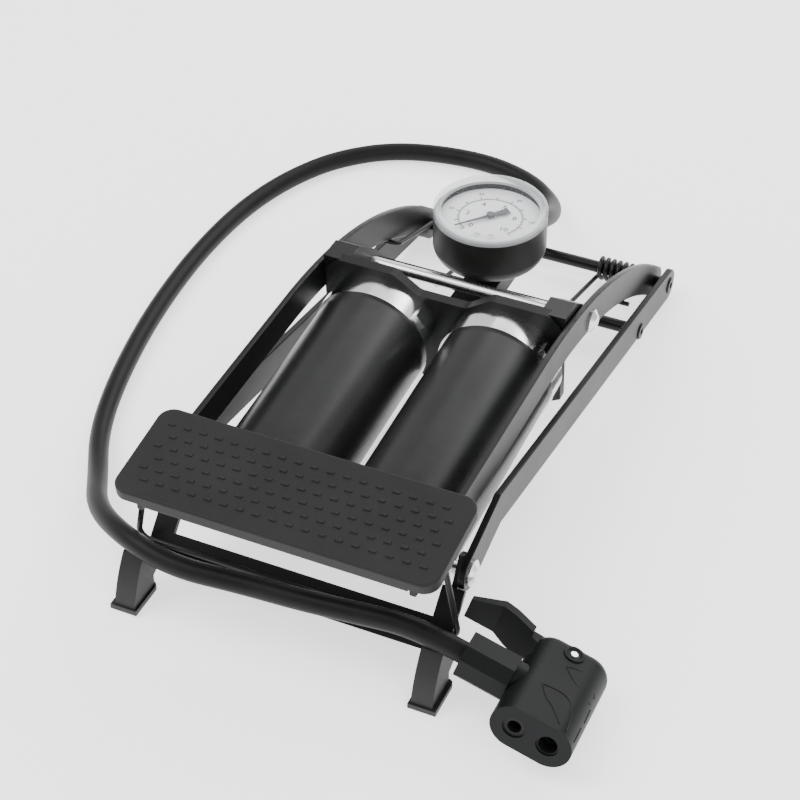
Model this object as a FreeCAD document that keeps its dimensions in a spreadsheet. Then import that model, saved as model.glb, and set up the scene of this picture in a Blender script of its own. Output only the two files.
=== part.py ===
import FreeCAD, Part
import math
import os
import re
import Sketcher
from FreeCAD import Placement, Rotation, Vector

# A twin-barrel foot air pump, folded down for storage.
# X runs across the pump, +Y from the pedal to the rear hinge, +Z up from the floor.
# The origin is on the floor, in the middle of the pump without its hose.

SIZES = {
    # base frame
    "rail_offset": 69.0, "rail_thickness": 3.0, "rail_height": 16.0,
    "hinge_y": 148.5, "rail_bend_y": -75.5, "rail_bend_z": 43.5,
    "pin_y": -106.5, "pin_z": 34.0, "pin_diameter": 6.0,
    "pin_head_diameter": 11.5, "pin_head_height": 2.6,
    "rod_diameter": 6.0, "eyelet_diameter": 8.4, "eyelet_height": 0.8, "eyelet_bore": 3.4,
    "cross_rod_y": 104.5, "cross_rod_z": 10.0,
    # front stand
    "strap_thickness": 2.5, "strap_width": 10.0, "strap_offset": 60.0,
    "strap_top_y": -112.5, "strap_drop": 21.0, "crossbar_drop": 10.0, "lug_offset": 63.2,
    "lug_thickness": 2.4, "lug_width": 15.0,
    "foot_inner": 62.6, "foot_width": 12.4, "foot_front_y": -156.5, "foot_length": 19.5,
    "foot_plate": 2.5, "foot_height": 24.3, "column_inset": 1.0, "column_width": 9.6,
    # lever
    "arm_offset": 62.4, "arm_thickness": 3.0, "arm_height": 15.5, "arm_level": 62.8,
    "arm_bend_y": -6.5, "arm_nose_y": -147.5, "arm_nose_height": 8.0, "arm_knee_drop": 2.2,
    "pedal_rear_y": -103.5, "pedal_depth": 49.0, "pedal_width": 144.0, "pedal_slope": 8.2,
    "pedal_plate_thickness": 2.0, "pad_cover": 3.2, "pad_wall": 2.6, "pad_corner": 7.0,
    "lever_rod_y": 47.5, "lever_rod_z": 54.3, "lever_rod_diameter": 6.0, "lever_head_diameter": 10.6,
    "lever_head_height": 2.8,
    # locking wire
    "wire_diameter": 2.6, "wire_y": -131.0, "wire_pivot_z": 56.6, "wire_low_z": 20.4,
    "wire_half_low": 74.2, "wire_half_high": 67.6, "wire_corner": 5.0,
    # barrels and head
    "barrel_spacing": 61.5, "barrel_diameter": 54.0, "barrel_wall": 1.6, "axis_drop": 2.7,
    "axis_tilt": 4.0, "barrel_start": 14.0, "barrel_end": 129.0, "mouth_bore": 27.0,
    "mouth_lip": 5.0, "ring_start": 117.0, "ring_thickness": 1.0,
    "bracket_thickness": 5.0, "hump_height": 32.0, "dip_height": 23.5, "ear_width": 12.0,
    "ear_radius": 6.4, "head_thickness": 7.0, "manifold_depth": 12.0,
    "manifold_top": 5.0, "manifold_bottom": -12.0, "manifold_width": 80.0, "port_height": -4.0,
    "air_bore": 4.0, "tongue_width": 17.0, "tongue_end_y": 91.5, "tongue_top_z": 43.5,
    "tongue_height": 11.0,
    # pistons and rods
    "piston_length": 16.0, "piston_crown": 4.0, "piston_gap": 2.0, "piston_clearance": 0.4,
    "piston_skirt_wall": 3.0, "seal_width": 4.0,
    "piston_rod_diameter": 8.0, "rod_eye_diameter": 17.0, "rod_eye_width": 9.0,
    "rod_foot_diameter": 12.0,
    # gauge
    "gauge_y": 77.5, "gauge_diameter": 53.6, "gauge_top_z": 81.0, "gauge_depth": 31.0,
    "gauge_wall": 1.6, "bezel_width": 3.0, "lens_thickness": 1.6, "dial_drop": 4.6,
    "stem_diameter": 9.5, "needle_length": 18.5, "needle_tail": 9.5,
    "needle_angle": 228.6, "dial_turn": 11.0, "dial_screw_gap": 3.3, "dial_screw_drop": 15.4,
    # springs
    "spring_wire": 2.3, "spring_radius": 4.9, "spring_start": 31.5, "spring_length": 22.0,
    "spring_turns": 7.0, "spring_hook_y": 96.5, "spring_leg_end_y": 88.0,
    # hose and valve head
    "hose_diameter": 9.4,
    "entry_x": 81.5, "entry_y": -143.1, "entry_z": 26.9, "valve_tilt": 16.2, "valve_pitch": 8.8,
    "valve_radius": 10.0, "port_spacing": 14.6, "port_offset": 38.5, "port_face": 24.5,
    "valve_tail": 27.5, "port_bore": 8.0, "collar_width": 19.0, "collar_height": 17.0,
    "thumb_length": 47.0, "thumb_thickness": 4.0, "thumb_width": 17.0, "thumb_pivot": 19.5,
    "thumb_bow": 9.0, "thumb_spread": 6.0, "thumb_pin_diameter": 3.0,
    "root_height": 12.0, "port_depth": 6.0, "seal_wall": 0.8,
    # running gaps
    "turning_gap": 0.05, "side_gap": 0.3,
}

document = FreeCAD.newDocument("FootPump")
sheet = document.addObject("Spreadsheet::Sheet", "Size")
for row, (name, number) in enumerate(SIZES.items(), start=1):
    sheet.set("A%d" % row, name)
    sheet.set("B%d" % row, str(number))
    sheet.setAlias("B%d" % row, name)
document.recompute()


def full(expression):
    """The expression with every size name pointed at the sheet."""
    return re.sub(r"\b([a-z]+(?:_[a-z]+)+)\b", r"Size.\1", str(expression))


def value(expression):
    """The number that an expression on the sheet gives now."""
    return float(sheet.evalExpression(full(expression)))


subparts = []


def register(item, label, x="0", y="0", z="0", tilt=None):
    """Label a sub-part and place it; tilt turns it about X, in degrees."""
    item.Label = label
    item.Placement = Placement(Vector(value(x), value(y), value(z)),
                               Rotation(Vector(1, 0, 0), value(tilt) if tilt else 0))
    for part, expression in (("x", x), ("y", y), ("z", z)):
        item.setExpression("Placement.Base." + part, full(expression))
    if tilt:
        item.setExpression("Placement.Rotation.Angle", full(tilt))
    subparts.append(item)
    return item


def new_body(label, x="0", y="0", z="0", tilt=None):
    return register(document.addObject("PartDesign::Body", label), label, x, y, z, tilt)


def new_sketch(body, role, name, lift="0"):
    """A sketch on one of the body's own origin planes, lifted along its normal."""
    sketch = body.newObject("Sketcher::SketchObject", body.Name + "_" + name)
    plane = [item for item in body.Origin.OriginFeatures if item.Role == role][0]
    sketch.AttachmentSupport = [(plane, "")]
    sketch.MapMode = "FlatFace"
    sketch.AttachmentOffset = Placement(Vector(0, 0, value(lift)), Rotation())
    sketch.setExpression("AttachmentOffset.Base.z", full(lift))
    return sketch


def bind(sketch, kind, number, *geometry):
    """Add a constraint whose value follows an expression."""
    index = sketch.addConstraint(Sketcher.Constraint(kind, *geometry, value(number)))
    sketch.setExpression("Constraints[%d]" % index, full(number))


def fix(sketch, geometry, point, across, along):
    bind(sketch, "DistanceX", across, -1, 1, geometry, point)
    bind(sketch, "DistanceY", along, -1, 1, geometry, point)


def draw_circle(sketch, across, along, radius):
    centre = Vector(value(across), value(along), 0)
    index = sketch.addGeometry(Part.Circle(centre, Vector(0, 0, 1), value(radius)), False)
    fix(sketch, index, 3, across, along)
    bind(sketch, "Radius", radius, index)


def draw_outline(sketch, steps):
    """A closed outline. A step is a corner (across, along), or an arc that ends there,
    (across, along, centre across, centre along, turn) with turn 1 anticlockwise, -1 clockwise."""
    places = [Vector(value(step[0]), value(step[1]), 0) for step in steps]
    ends = []
    for number, step in enumerate(steps):
        start, end = places[number - 1], places[number]
        if len(step) == 2:
            index = sketch.addGeometry(Part.LineSegment(start, end), False)
            ends.append((index, 1, 2))
            continue
        centre = Vector(value(step[2]), value(step[3]), 0)
        first, last = (start, end) if step[4] > 0 else (end, start)
        angles = [math.atan2(spot.y - centre.y, spot.x - centre.x) for spot in (first, last)]
        if angles[1] <= angles[0]:
            angles[1] += 2 * math.pi
        radius = (end - centre).Length
        circle = Part.Circle(centre, Vector(0, 0, 1), radius)
        index = sketch.addGeometry(Part.ArcOfCircle(circle, angles[0], angles[1]), False)
        ends.append((index, 1, 2) if step[4] > 0 else (index, 2, 1))
    for number, (index, begin, finish) in enumerate(ends):
        before = ends[number - 1]
        sketch.addConstraint(Sketcher.Constraint("Coincident", before[0], before[2], index, begin))
    for number, step in enumerate(steps):
        fix(sketch, ends[number][0], ends[number][2], step[0], step[1])
        if len(step) == 5:
            chord = places[number] - places[number - 1]
            kind, spot = ("DistanceX", step[2]) if abs(chord.y) > abs(chord.x) else ("DistanceY", step[3])
            bind(sketch, kind, spot, -1, 1, ends[number][0], 3)


def add_feature(body, kind, name, profile=None):
    feature = body.newObject("PartDesign::" + kind, body.Name + "_" + name)
    if profile is not None:
        feature.Profile = profile
        profile.Visibility = False
    return feature


def add_pad(body, sketch, name, length, centred=False):
    pad = add_feature(body, "Pad", name, sketch)
    pad.Length = value(length)
    pad.setExpression("Length", full(length))
    pad.Midplane = centred
    return pad


def add_pocket(body, sketch, name, length=None, backwards=False):
    """Cut a pocket; with no length it goes right through, both ways."""
    document.recompute()
    before = body.Shape.Volume
    pocket = add_feature(body, "Pocket", name, sketch)
    if length is None:
        pocket.Type = "ThroughAll"
        pocket.Midplane = True
    else:
        pocket.Length = value(length)
        pocket.setExpression("Length", full(length))
        pocket.Reversed = backwards
    document.recompute()
    if body.Shape.Volume >= before - 0.01:
        raise RuntimeError("nothing was cut by " + body.Name + "_" + name)
    return pocket


def add_turning(body, sketch, name, axis, kind="Revolution"):
    turning = add_feature(body, kind, name, sketch)
    turning.ReferenceAxis = (sketch, [axis])
    turning.Angle = 360
    return turning


def round_edges(body, name, radius, wanted, kind="Fillet"):
    """Fillet or chamfer the edges of the body that the test accepts."""
    document.recompute()
    base = body.Tip
    names = ["Edge%d" % (number + 1) for number, edge in enumerate(base.Shape.Edges) if wanted(edge)]
    if not names:
        raise RuntimeError("no edges for " + body.Name + "_" + name)
    feature = body.newObject("PartDesign::" + kind, body.Name + "_" + name)
    feature.Base = (base, names)
    field = "Radius" if kind == "Fillet" else "Size"
    setattr(feature, field, value(radius))
    feature.setExpression(field, full(radius))
    return feature


def runs_along(edge, axis, low=0.5):
    """True for a straight edge along the axis, longer than low."""
    if edge.Curve.TypeId != "Part::GeomLine" or edge.Length < low:
        return False
    direction = edge.Vertexes[1].Point - edge.Vertexes[0].Point
    return abs(direction.normalize().dot(axis)) > 0.999


ACROSS, ALONG, UPWARD = Vector(1, 0, 0), Vector(0, 1, 0), Vector(0, 0, 1)
SIDES = (("left", -1), ("right", 1))


def turned(label, steps, x="0", y="0", z="0", tilt=None, role="XZ_Plane", axis="V_Axis"):
    """A body turned about one axis from its half outline."""
    body = new_body(label, x, y, z, tilt)
    sketch = new_sketch(body, role, "profile")
    draw_outline(sketch, steps)
    add_turning(body, sketch, "turning", axis)
    return body


def side_plate(label, side, outer, thickness, steps):
    """A flat bar on edge: its outline in the YZ plane, padded across between two offsets."""
    start = outer + " - " + thickness if side > 0 else "-(" + outer + ")"
    body = new_body(label)
    sketch = new_sketch(body, "YZ_Plane", "outline", start)
    draw_outline(sketch, steps)
    add_pad(body, sketch, "bar", thickness)
    return body


def bore_across(body, name, along, height, radius):
    """A round hole along X, right through."""
    sketch = new_sketch(body, "YZ_Plane", name)
    draw_circle(sketch, along, height, radius)
    add_pocket(body, sketch, name + "_cut")


# ---------------------------------------------------------------- base frame

HINGE_Z = "rail_height / 2"
RAIL_RADIUS = "rail_height / 2"


def rail_line(part):
    """Unit direction of the rail's main run, from the hinge to the bend."""
    run = "sqrt((hinge_y - rail_bend_y) ^ 2 + (rail_bend_z - rail_height / 2) ^ 2)"
    across = {"y": "(hinge_y - rail_bend_y)", "z": "(rail_bend_z - rail_height / 2)"}[part]
    return "(%s / %s)" % (across, run)


def nose_line(part):
    """Unit direction of the rail's short front run, from the bend to the pin."""
    run = "sqrt((rail_bend_y - pin_y) ^ 2 + (rail_bend_z - pin_z) ^ 2)"
    across = {"y": "(rail_bend_y - pin_y)", "z": "(rail_bend_z - pin_z)"}[part]
    return "(%s / %s)" % (across, run)


def rail_corner(up):
    """Where the edges of the two runs meet above or below the bend, as (y, z)."""
    half_turn = "((atan({0} / {1}) + atan({2} / {3})) / 2)".format(
        rail_line("z"), rail_line("y"), nose_line("z"), nose_line("y"))
    lean = "((atan({0} / {1}) - atan({2} / {3})) / 2)".format(
        rail_line("z"), rail_line("y"), nose_line("z"), nose_line("y"))
    reach = "(%s / cos(%s))" % (RAIL_RADIUS, half_turn)
    sign = "+" if up else "-"
    return ("rail_bend_y %s %s * sin(%s)" % (sign, reach, lean),
            "rail_bend_z %s %s * cos(%s)" % (sign, reach, lean))


def make_rails():
    rear_low = ("hinge_y - %s * %s" % (RAIL_RADIUS, rail_line("z")),
                HINGE_Z + " - %s * %s" % (RAIL_RADIUS, rail_line("y")))
    rear_high = ("hinge_y + %s * %s" % (RAIL_RADIUS, rail_line("z")),
                 HINGE_Z + " + %s * %s" % (RAIL_RADIUS, rail_line("y")))
    front_low = ("pin_y + %s * %s" % (RAIL_RADIUS, nose_line("z")),
                 "pin_z - %s * %s" % (RAIL_RADIUS, nose_line("y")))
    front_high = ("pin_y - %s * %s" % (RAIL_RADIUS, nose_line("z")),
                  "pin_z + %s * %s" % (RAIL_RADIUS, nose_line("y")))
    steps = [front_low, rail_corner(False), rear_low,
             rear_high + ("hinge_y", HINGE_Z, 1), rail_corner(True),
             front_high]
    steps[0] = front_low + ("pin_y", "pin_z", 1)
    for name, side in SIDES:
        body = side_plate(name + "_base_rail", side, "rail_offset", "rail_thickness", steps)
        bore_across(body, "hinge_hole", "hinge_y", HINGE_Z, "rod_diameter / 2")
        bore_across(body, "cross_rod_hole", "cross_rod_y", "cross_rod_z", "rod_diameter / 2")
        bore_across(body, "pin_hole", "pin_y", "pin_z", "pin_diameter / 2")
        round_edges(body, "edge_break", "rail_thickness / 6",
                    lambda edge: edge.Length > 20 and abs(edge.tangentAt(edge.FirstParameter).x) < 0.01)


def make_riveted_rod(label, y, z):
    """A round bar across both rails, its ends drilled and rolled over like an eyelet."""
    radius, lip = "rod_diameter / 2", "rail_offset + eyelet_height"
    depth = "rail_offset - rail_thickness"
    steps = [(depth, "eyelet_bore / 2"), (lip, "eyelet_bore / 2"), (lip, "eyelet_diameter / 2 - 0.6"),
             ("rail_offset + eyelet_height / 3", "eyelet_diameter / 2"),
             ("rail_offset", "eyelet_diameter / 2"), ("rail_offset", radius),
             ("-rail_offset", radius), ("-rail_offset", "eyelet_diameter / 2"),
             ("-(rail_offset + eyelet_height / 3)", "eyelet_diameter / 2"),
             ("-(%s)" % lip, "eyelet_diameter / 2 - 0.6"), ("-(%s)" % lip, "eyelet_bore / 2"),
             ("-(%s)" % depth, "eyelet_bore / 2"), ("-(%s)" % depth, "0"), (depth, "0")]
    return turned(label, steps, "0", y, z, role="XY_Plane", axis="H_Axis")


def make_headed_pin(label, y, z, radius, seat, head_radius, head_height):
    """A pin with a low domed head at each end, seated on the plates it goes through."""
    top = "(%s + %s)" % (seat, head_height)
    rim = "(%s + %s * 0.35)" % (seat, head_height)
    steps = [(top, "0"), (top, head_radius + " * 0.55"), (rim, head_radius), (seat, head_radius),
             (seat, radius), ("-" + seat, radius), ("-" + seat, head_radius), ("-" + rim, head_radius),
             ("-" + top, head_radius + " * 0.55"), ("-" + top, "0")]
    return turned(label, steps, "0", y, z, role="XY_Plane", axis="H_Axis")


# The stand's sheet leans at 45 degrees: its rear face is the line z = y + constant.
LEAN = "0.70710678"


def strap_outline(start, end):
    """Side view of the leaning sheet between two distances down its slope."""
    def spot(distance, out):
        return ("strap_top_y - (%s) * %s - (%s) * %s" % (distance, LEAN, out, LEAN),
                "pin_z - 2.4 - (%s) * %s + (%s) * %s" % (distance, LEAN, out, LEAN))
    thick = "strap_thickness"
    return [spot(start, "0"), spot(start, thick), spot(end, thick), spot(end, "0")]


STRAP_STEP = "(pin_y - strap_top_y)"
STRAP_START = ("(sqrt((rail_height / 2 + side_gap) ^ 2 - ((%s - 2.4) * %s) ^ 2) - (%s + 2.4) * %s)"
               % (STRAP_STEP, LEAN, STRAP_STEP, LEAN))
STRAP_END = "strap_drop * 1.41421356"
BAR_START = "(strap_drop - crossbar_drop) * 1.41421356"


def make_stand():
    bar = new_body("stand_crossbar")
    sketch = new_sketch(bar, "YZ_Plane", "outline")
    draw_outline(sketch, strap_outline(BAR_START, STRAP_END))
    add_pad(bar, sketch, "bar", "strap_offset * 2", centred=True)
    for name, side in SIDES:
        leg = new_body(name + "_stand_leg")
        start = "strap_offset" if side > 0 else "-(strap_offset + strap_width)"
        front = new_sketch(leg, "YZ_Plane", "front_outline", start)
        draw_outline(front, strap_outline(STRAP_START, STRAP_END))
        add_pad(leg, front, "front", "strap_width")
        lug_start = "lug_offset" if side > 0 else "-(lug_offset + lug_thickness)"
        lug = new_sketch(leg, "YZ_Plane", "lug_outline", lug_start)
        top, low = strap_outline("0", STRAP_END + " * 0.62")[0::3]
        reach = "lug_width / 2"
        draw_outline(lug, [top, low, ("pin_y + %s * 0.5" % reach, "pin_z - %s * 0.8660254" % reach),
                           ("pin_y", "pin_z + " + reach, "pin_y", "pin_z", 1)])
        add_pad(leg, lug, "lug", "lug_thickness")
        bore_across(leg, "pin_hole", "pin_y", "pin_z", "pin_diameter / 2")


def make_feet():
    rear, front = "(foot_front_y + foot_length)", "foot_front_y"
    slot = strap_outline("0", STRAP_END)
    for name, side in SIDES:
        foot = new_body(name + "_foot")
        inner = "foot_inner" if side > 0 else "-(foot_inner + foot_width)"
        plate = new_sketch(foot, "YZ_Plane", "plate_outline", inner)
        draw_outline(plate, [(front, "0"), (rear, "0"), (rear, "foot_plate"), (front, "foot_plate")])
        add_pad(foot, plate, "plate", "foot_width")
        round_edges(foot, "corners", "foot_plate", lambda edge: runs_along(edge, UPWARD)
                    and edge.CenterOfMass.y > value("foot_front_y + foot_length / 2"))
        column_start = ("foot_inner + column_inset" if side > 0
                        else "-(foot_inner + column_inset + column_width)")
        column = new_sketch(foot, "YZ_Plane", "column_outline", column_start)
        low = "foot_plate / 2"
        draw_outline(column, [
            (front + " + 1", low), (rear + " - 1.5", low), (rear + " - 1.5", "foot_height * 0.33"),
            (rear + " + 3.6", "foot_height * 0.42"), (rear + " + 4.6", "foot_height * 0.6"),
            (rear + " + 2", "foot_height * 0.8"), (rear, "foot_height"),
            (rear + " - 8", "foot_height"),
            (front + " + 1", "foot_plate", rear + " + 33", "-foot_height * 0.32", 1)])
        add_pad(foot, column, "column", "column_width")
        pocket_start = ("foot_inner + column_inset" if side > 0
                        else "-(strap_offset + strap_width + turning_gap)")
        groove = new_sketch(foot, "YZ_Plane", "strap_slot", pocket_start)
        draw_outline(groove, slot)
        width = "(strap_offset + strap_width + turning_gap - foot_inner - column_inset)"
        add_pocket(foot, groove, "slot", width, backwards=True)


# ---------------------------------------------------------------- lever

KNEE_TOP = "(arm_level + arm_height / 2 - arm_knee_drop)"
ARM_DROP = "(arm_level - rail_height / 2)"
ARM_RUN = "(hinge_y - arm_bend_y)"
ARM_RADIUS = "((%s ^ 2 + %s ^ 2) / (2 * %s))" % (ARM_RUN, ARM_DROP, ARM_DROP)
PEDAL_FALL = "tan(pedal_slope)"


def arm_outline():
    """An arm's side view: straight under the pedal, then one long arch down to the hinge."""
    half, radius = "arm_height / 2", ARM_RADIUS
    centre = ("arm_bend_y", "arm_level - " + radius)
    out = ("(%s / %s)" % (ARM_RUN, radius), "((%s - %s) / %s)" % (radius, ARM_DROP, radius))
    rear_high = ("hinge_y + %s * %s" % (half, out[0]), HINGE_Z + " + %s * %s" % (half, out[1]))
    rear_low = ("hinge_y - %s * %s" % (half, out[0]), HINGE_Z + " - %s * %s" % (half, out[1]))
    nose_top = "%s - (pedal_rear_y - arm_nose_y) * %s" % (KNEE_TOP, PEDAL_FALL)
    return [
        ("arm_nose_y", nose_top),
        ("pedal_rear_y", KNEE_TOP),
        ("arm_bend_y", "arm_level + " + half),
        rear_high + centre + (-1,),
        rear_low + ("hinge_y", HINGE_Z, -1),
        ("arm_bend_y", "arm_level - " + half) + centre + (1,),
        ("pedal_rear_y", KNEE_TOP + " - arm_height"),
        ("arm_nose_y", nose_top + " - arm_nose_height"),
    ]


def make_arms():
    for name, side in SIDES:
        body = side_plate(name + "_lever_arm", side, "arm_offset", "arm_thickness", arm_outline())
        bore_across(body, "hinge_hole", "hinge_y", HINGE_Z, "rod_diameter / 2 + turning_gap")
        bore_across(body, "rod_hole", "lever_rod_y", "lever_rod_z", "lever_rod_diameter / 2")
        bore_across(body, "wire_hole", "wire_y", "wire_pivot_z", "wire_diameter / 2 + turning_gap")
        round_edges(body, "edge_break", "arm_thickness / 4",
                    lambda edge: edge.Length > 30 and abs(edge.tangentAt(edge.FirstParameter).x) < 0.01)


def make_pedal():
    place = ("0", "pedal_rear_y", KNEE_TOP, "pedal_slope")
    plate = new_body("pedal_plate", *place)
    inside = "(pedal_width / 2 - pad_wall - turning_gap)"
    low, high = "-(pedal_depth - pad_wall - turning_gap)", "-(pad_wall + turning_gap)"
    sketch = new_sketch(plate, "XY_Plane", "outline")
    draw_outline(sketch, [("-" + inside, low), (inside, low), (inside, high), ("-" + inside, high)])
    add_pad(plate, sketch, "plate", "pedal_plate_thickness")
    lip = new_sketch(plate, "XY_Plane", "lip_outline", "-arm_nose_height * 0.6")
    side = "(arm_offset - arm_thickness - side_gap)"
    draw_outline(lip, [("-" + side, low), (side, low), (side, low + " + 2"), ("-" + side, low + " + 2")])
    add_pad(plate, lip, "lip", "arm_nose_height * 0.6 + 0.5")
    round_edges(plate, "corners", "pad_corner - pad_wall", lambda edge: runs_along(edge, UPWARD)
                and abs(edge.CenterOfMass.x) > value(side) + 1)
    pad = new_body("pedal_pad", *place)
    outer = new_sketch(pad, "XY_Plane", "outline")
    half = "pedal_width / 2"
    draw_outline(outer, [("-" + half, "-pedal_depth"), (half, "-pedal_depth"), (half, "0"), ("-" + half, "0")])
    add_pad(pad, outer, "pad", "pedal_plate_thickness + pad_cover")
    round_edges(pad, "corners", "pad_corner", lambda edge: runs_along(edge, UPWARD))
    top = value("pedal_plate_thickness + pad_cover")
    round_edges(pad, "top_edge", "pad_cover / 2.6",
                lambda edge: all(abs(vertex.Z - top) < 0.01 for vertex in edge.Vertexes))
    hollow = new_sketch(pad, "XY_Plane", "hollow_outline")
    inside = "(pedal_width / 2 - pad_wall)"
    draw_outline(hollow, [("-" + inside, "-(pedal_depth - pad_wall)"), (inside, "-(pedal_depth - pad_wall)"),
                          (inside, "-pad_wall"), ("-" + inside, "-pad_wall")])
    add_pocket(pad, hollow, "hollow", "pedal_plate_thickness", backwards=True)


# ---------------------------------------------------------------- wires and hose


def free_radii(points):
    """For each inner point, the largest arc that its two runs allow, with a little to spare."""
    radii = []
    for number in range(1, len(points) - 1):
        back, ahead = points[number - 1] - points[number], points[number + 1] - points[number]
        half_turn = (math.pi - back.getAngle(ahead)) / 2
        radii.append(0.45 * min(back.Length, ahead.Length) / math.tan(half_turn))
    return radii


def rounded_path(points, radii):
    """Straight runs through the points, joined by tangent arcs at the inner points."""
    edges = []
    last = points[0]
    for number in range(1, len(points) - 1):
        corner = points[number]
        back = (points[number - 1] - corner).normalize()
        ahead = (points[number + 1] - corner).normalize()
        half_turn = (math.pi - back.getAngle(ahead)) / 2
        reach = radii[number - 1] * math.tan(half_turn)
        start, end = corner + back * reach, corner + ahead * reach
        bisector = (back + ahead).normalize()
        middle = corner + bisector * (radii[number - 1] / math.cos(half_turn) - radii[number - 1])
        edges.append(Part.LineSegment(last, start).toShape())
        edges.append(Part.Arc(start, middle, end).toShape())
        last = end
    edges.append(Part.LineSegment(last, points[-1]).toShape())
    return Part.Wire(edges)


def sweep_round(path, radius):
    """A round bar along a wire."""
    first = path.Edges[0]
    start = first.valueAt(first.FirstParameter)
    direction = first.tangentAt(first.FirstParameter)
    circle = Part.Wire([Part.Circle(start, direction, radius).toShape()])
    return path.makePipeShell([circle], True, False)


def add_shape(label, shape, place=None):
    item = document.addObject("Part::Feature", label)
    item.Label = label
    item.Shape = shape
    item.Placement = place or Placement()
    subparts.append(item)
    return item


def make_locking_wire():
    """A U of spring wire whose ends turn in the arms under the pedal."""
    y, top, low = value("wire_y"), value("wire_pivot_z"), value("wire_low_z")
    end = value("arm_offset - arm_thickness")
    high, wide = value("wire_half_high"), value("wire_half_low")
    points = [Vector(-end, y, top), Vector(-high, y, top), Vector(-wide, y, low),
              Vector(wide, y, low), Vector(high, y, top), Vector(end, y, top)]
    small, large = value("wire_diameter"), value("wire_corner")
    path = rounded_path(points, [small, large, large, small])
    add_shape("locking_wire", sweep_round(path, value("wire_diameter / 2")))


def tangent_spot(centre, radius, target, turn):
    """Where a line from the target touches a circle; turn picks the side."""
    away = target - centre
    angle = math.atan2(away.z, away.y) + turn * math.acos(radius / away.Length)
    return Vector(0, centre.y + radius * math.cos(angle), centre.z + radius * math.sin(angle))


def make_springs():
    """Each torsion spring is its coil with the leg that rests on the cross rod, and the end
    turn with the leg that hooks under the arm and swings with it."""
    wire, radius = value("spring_wire"), value("spring_radius")
    start, length, turns = value("spring_start"), value("spring_length"), value("spring_turns")
    centre = Vector(0, value("hinge_y"), value(HINGE_Z))
    rod = Vector(0, value("cross_rod_y"), value("cross_rod_z"))
    reach = value("rod_diameter / 2") + wire / 2
    # the straight leg leaves the coil from below and passes over the cross rod
    away = rod - centre
    lean = math.atan2(away.z, away.y) + math.acos((radius + reach) / away.Length)
    leave = centre + Vector(0, math.cos(lean), math.sin(lean)) * radius
    rest = rod - Vector(0, math.cos(lean), math.sin(lean)) * reach
    leg_end = leave + (rest - leave) * ((leave.y - value("spring_leg_end_y")) / (leave.y - rest.y))
    hook_y = value("spring_hook_y")
    arm_radius = value(ARM_RADIUS)
    inner = arm_radius - value("arm_height / 2") - wire / 2
    arc_z = value("arm_level") - arm_radius
    hook = Vector(0, hook_y, arc_z + math.sqrt(inner ** 2 - (hook_y - value("arm_bend_y")) ** 2))
    hook = hook - Vector(0, 0, value("turning_gap") * 2)
    step = math.pi / 4
    corners = radius / math.cos(step / 2)
    count = int(round(turns * 8))
    for name, side in SIDES:
        points = [Vector(start, leg_end.y, leg_end.z)]
        for number in range(count):
            angle = lean + step * (number + 0.5)
            points.append(Vector(start + length * number / count, centre.y + corners * math.cos(angle),
                                 centre.z + corners * math.sin(angle)))
        shape = sweep_round(rounded_path(points, free_radii(points)), wire / 2)
        end_x = start + length + wire + value("turning_gap")
        touch = tangent_spot(centre, radius, hook, -1)
        ring = Part.makeTorus(radius, wire / 2, Vector(end_x, centre.y, centre.z), ACROSS)
        hook_x = value("arm_offset + spring_wire")
        path = rounded_path([Vector(end_x, touch.y, touch.z), Vector(end_x, hook.y, hook.z),
                             Vector(hook_x, hook.y, hook.z)], [wire])
        hooked = ring.fuse(sweep_round(path, wire / 2)).removeSplitter()
        if side < 0:
            shape = shape.mirror(Vector(), ACROSS)
            hooked = hooked.mirror(Vector(), ACROSS)
        add_shape(name + "_spring_coil", shape)
        add_shape(name + "_spring_hook", hooked)


# ---------------------------------------------------------------- barrels and head

AXIS_Z = "pin_z - axis_drop"
BARREL_RADIUS = "barrel_diameter / 2"
BORE_RADIUS = "(barrel_diameter / 2 - barrel_wall)"
BRACKET_END = "(barrel_end + bracket_thickness)"
ROD_ALONG = ("((lever_rod_y - pin_y) * cos(axis_tilt)"
             " + (lever_rod_z - pin_z + axis_drop) * sin(axis_tilt))")
ROD_HEIGHT = ("((lever_rod_z - pin_z + axis_drop) * cos(axis_tilt)"
              " - (lever_rod_y - pin_y) * sin(axis_tilt))")
SLANTED = ("0", "pin_y", AXIS_Z, "axis_tilt")


def barrel_place(side):
    sign = "" if side > 0 else "-"
    return (sign + "barrel_spacing / 2", "pin_y", AXIS_Z, "axis_tilt")


def level_spot(along, height):
    """The (y, z) of a place given along the barrels' axis and above it."""
    return ("pin_y + (%s) * cos(axis_tilt) - (%s) * sin(axis_tilt)" % (along, height),
            AXIS_Z + " + (%s) * sin(axis_tilt) + (%s) * cos(axis_tilt)" % (along, height))


def turned_on_barrel(label, side, steps):
    return turned(label, steps, *barrel_place(side), role="XY_Plane", axis="V_Axis")


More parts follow.
